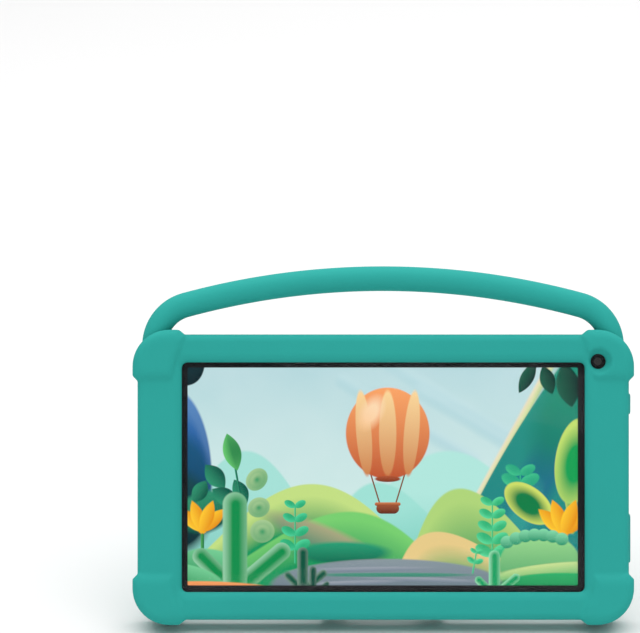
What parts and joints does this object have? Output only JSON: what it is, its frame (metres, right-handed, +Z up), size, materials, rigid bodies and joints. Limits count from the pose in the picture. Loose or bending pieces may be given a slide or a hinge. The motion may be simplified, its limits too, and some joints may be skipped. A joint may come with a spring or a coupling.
{
  "type": "kids tablet in bumper case",
  "caption": "Small children's tablet in a silicone bumper case with a carry handle over the top and a fold-out stand at the back.",
  "frame": {"origin": "middle of the bounding box on the surface it stands on, stand leg out", "axes": "+X to the right seen from the screen side, +Y towards the back and the stand, +Z up; the screen faces -Y and leans back 18 degrees"},
  "size_m": [0.1974, 0.055, 0.1368],
  "materials": {
    "silicone": "soft matte silicone, fine moulded grain",
    "stand_plastic": "satin moulded plastic",
    "pin_steel": "bright drawn pin",
    "cover_glass": "polished cover glass with a black printed border",
    "display": "lit display showing a garden picture",
    "sheet_metal": "stamped tinned steel",
    "housing_plastic": "fine textured moulding",
    "black_plastic": "satin black moulding",
    "lens_glass": "coated lens",
    "circuit_board": "solder mask",
    "battery_foil": "foil pouch",
    "flex_film": "polyimide film"
  },
  "bodies": {
    "tablet": {"bumper_case": "silicone", "carry_handle": "silicone", "stand_frame": "stand_plastic", "stand_hinge_pin": "pin_steel", "touch_glass": "cover_glass", "display_panel": "display", "middle_frame": "sheet_metal", "processor_shield": "sheet_metal", "card_slot": "sheet_metal", "usb_port": "sheet_metal", "microphone": "sheet_metal", "board_screw_1": "sheet_metal", "board_screw_2": "sheet_metal", "board_screw_3": "sheet_metal", "board_screw_4": "sheet_metal", "power_switch": "sheet_metal", "volume_up_switch": "sheet_metal", "volume_down_switch": "sheet_metal", "rear_housing": "housing_plastic", "rear_camera_ring": "black_plastic", "rear_camera_module": "black_plastic", "front_camera_module": "black_plastic", "speaker_grille": "black_plastic", "speaker_box": "black_plastic", "headphone_jack": "black_plastic", "battery_connector": "black_plastic", "rear_camera_lens": "lens_glass", "main_board": "circuit_board", "side_key_board": "circuit_board", "battery": "battery_foil", "display_flex": "flex_film", "wifi_antenna": "flex_film"},
    "power_button": {"power_button_pad": "silicone", "power_key": "black_plastic"},
    "volume_button": {"volume_button_pad": "silicone", "volume_key": "black_plastic"},
    "stand_leg": {"stand_leg": "stand_plastic"},
    "speaker_cone": {"speaker_cone": "black_plastic"}
  },
  "joints": [
    {"name": "stand_fold", "type": "hinge", "parent": "tablet", "child": "stand_leg", "pos_m": [0, 0.00948, 0.06485], "axis": [-1, 0, 0], "range_deg": [0, 30]},
    {"name": "power_press", "type": "slide", "parent": "tablet", "child": "power_button", "axis": [-1, 0, 0], "range_m": [0, 0.0003], "stiffness_N_per_m": 1500},
    {"name": "volume_rock", "type": "hinge", "parent": "tablet", "child": "volume_button", "pos_m": [0.0934, -0.00914, 0.03441], "axis": [0, 0.9511, -0.309], "range_deg": [-1.5, 1.5], "stiffness_Nm_per_rad": 0.275},
    {"name": "speaker_cone_travel", "type": "slide", "parent": "tablet", "child": "speaker_cone", "axis": [0, 0.9511, -0.309], "range_m": [-0.00025, 0.00025], "stiffness_N_per_m": 1000}
  ]
}
